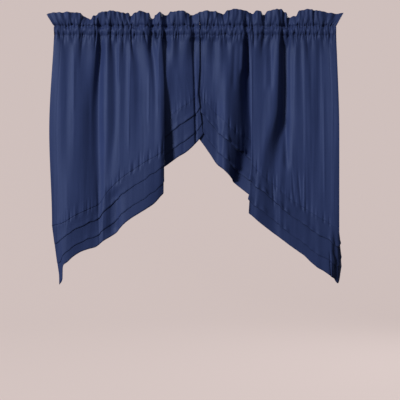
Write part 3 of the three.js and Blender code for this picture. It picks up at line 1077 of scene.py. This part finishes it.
def thread_material():
    """Twisted sewing thread, a little lighter than the cloth."""
    material = bpy.data.materials.new("navy_thread")
    material.use_nodes = True
    tree = material.node_tree
    shader = tree.nodes["Principled BSDF"]
    shader.inputs["Roughness"].default_value = THREAD_ROUGHNESS
    shader.inputs["Specular IOR Level"].default_value = THREAD_SPECULAR
    place = add_node(tree, "ShaderNodeTexCoord")
    fuzz = add_node(tree, "ShaderNodeTexNoise", scale=THREAD_FUZZ, detail=THREAD_FUZZ_DETAIL)
    tree.links.new(place.outputs["Object"], fuzz.inputs["Vector"])
    colour = colour_between(tree, fuzz.outputs["Fac"], THREAD_DARK, THREAD_LIGHT, 0, 1)
    tree.links.new(colour, shader.inputs["Base Color"])
    return material


def make_swag(pattern, cloth, thread):
    """One swag: the heading and panel in one sheet, the tucked border, and the heading's stitches."""
    side = pattern.side
    swag = shape_swag(pattern)
    rows, stitch_lines = swag_grid(swag)
    panel = cloth_object(f"swag_cloth_{side}", rows, swag_painted_light(rows), cloth)
    border = cloth_object(f"swag_border_{side}", *border_grid(swag), cloth)
    stitches = stitch_object(f"heading_stitches_{side}", stitch_lines, thread)
    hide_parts(f"heading_{side}", f"panel_{side}")
    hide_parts(f"border_{side}")
    for piece in (panel, border, stitches):
        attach(piece, "root")


def stage_material():
    """Pale paint that glows evenly."""
    material = bpy.data.materials.new("stage_paint")
    material.use_nodes = True
    shader = material.node_tree.nodes["Principled BSDF"]
    shader.inputs["Base Color"].default_value = STAGE_COLOUR
    shader.inputs["Roughness"].default_value = STAGE_ROUGHNESS
    shader.inputs["Specular IOR Level"].default_value = STAGE_SPECULAR
    shader.inputs["Emission Color"].default_value = STAGE_GLOW
    shader.inputs["Emission Strength"].default_value = STAGE_GLOW_STRENGTH
    return material


def make_stage():
    """A pale floor that curves up into a plain backdrop all round. It lights nothing but the picture."""
    profile = [(STAGE_HOLE, STAGE_FLOOR), (STAGE_FLAT, STAGE_FLOOR)]
    for step in range(1, STAGE_BEND_STEPS + 1):
        angle = math.pi / 2 * step / STAGE_BEND_STEPS
        radius = STAGE_FLAT + STAGE_BEND * math.sin(angle)
        profile.append((radius, STAGE_FLOOR + STAGE_BEND * (1 - math.cos(angle))))
    profile.append((STAGE_FLAT + STAGE_BEND, STAGE_TOP))
    size = len(profile)
    points = []
    faces = []
    for turn in range(STAGE_TURNS):
        angle = 2 * math.pi * turn / STAGE_TURNS
        points += [(r * math.cos(angle), r * math.sin(angle), z) for r, z in profile]
        here = turn * size
        there = (turn + 1) % STAGE_TURNS * size
        faces += [(here + k, there + k, there + k + 1, here + k + 1) for k in range(size - 1)]
    stage = add_mesh("stage", points, faces, stage_material())
    stage.visible_diffuse = False
    stage.visible_glossy = False
    stage.visible_shadow = False


def look_at(obj, target):
    """Turn a light toward a target."""
    direction = np.array(target) - np.array(obj.location)
    pitch = math.atan2(direction[2], math.hypot(direction[0], direction[1]))
    turn = math.atan2(-direction[0], direction[1])
    obj.rotation_euler = (math.pi / 2 + pitch, 0, turn)


def make_lights():
    """The lamps, an even sky and plain colours in the picture."""
    for lamp in LAMPS:
        data = bpy.data.lights.new(lamp.name, "AREA")
        data.shape = "DISK"
        data.size = lamp.size
        data.energy = lamp.power
        data.color = lamp.colour
        light = bpy.data.objects.new(lamp.name, data)
        light.location = lamp.place
        bpy.context.scene.collection.objects.link(light)
        look_at(light, CURTAIN_MIDDLE)
    sky = bpy.data.worlds.new("studio")
    sky.use_nodes = True
    background = sky.node_tree.nodes["Background"]
    background.inputs["Color"].default_value = SKY_COLOUR
    background.inputs["Strength"].default_value = SKY_STRENGTH
    bpy.context.scene.world = sky
    bpy.context.scene.view_settings.view_transform = "Standard"


def make_camera():
    """A level camera square to the rod line, framed as the photograph is."""
    data = bpy.data.cameras.new("camera")
    data.sensor_width = SENSOR_WIDTH
    data.lens = SENSOR_WIDTH * CAMERA_DISTANCE / VIEW_WIDTH
    camera = bpy.data.objects.new("camera", data)
    camera.location = (CAMERA_X, -CAMERA_DISTANCE, CAMERA_Z)
    camera.rotation_euler = (math.pi / 2, 0, 0)
    bpy.context.scene.collection.objects.link(camera)
    bpy.context.scene.camera = camera


navy_cloth = cloth_material()
navy_thread = thread_material()
for swag_pattern in PATTERNS:
    make_swag(swag_pattern, navy_cloth, navy_thread)
make_stage()
make_lights()
make_camera()
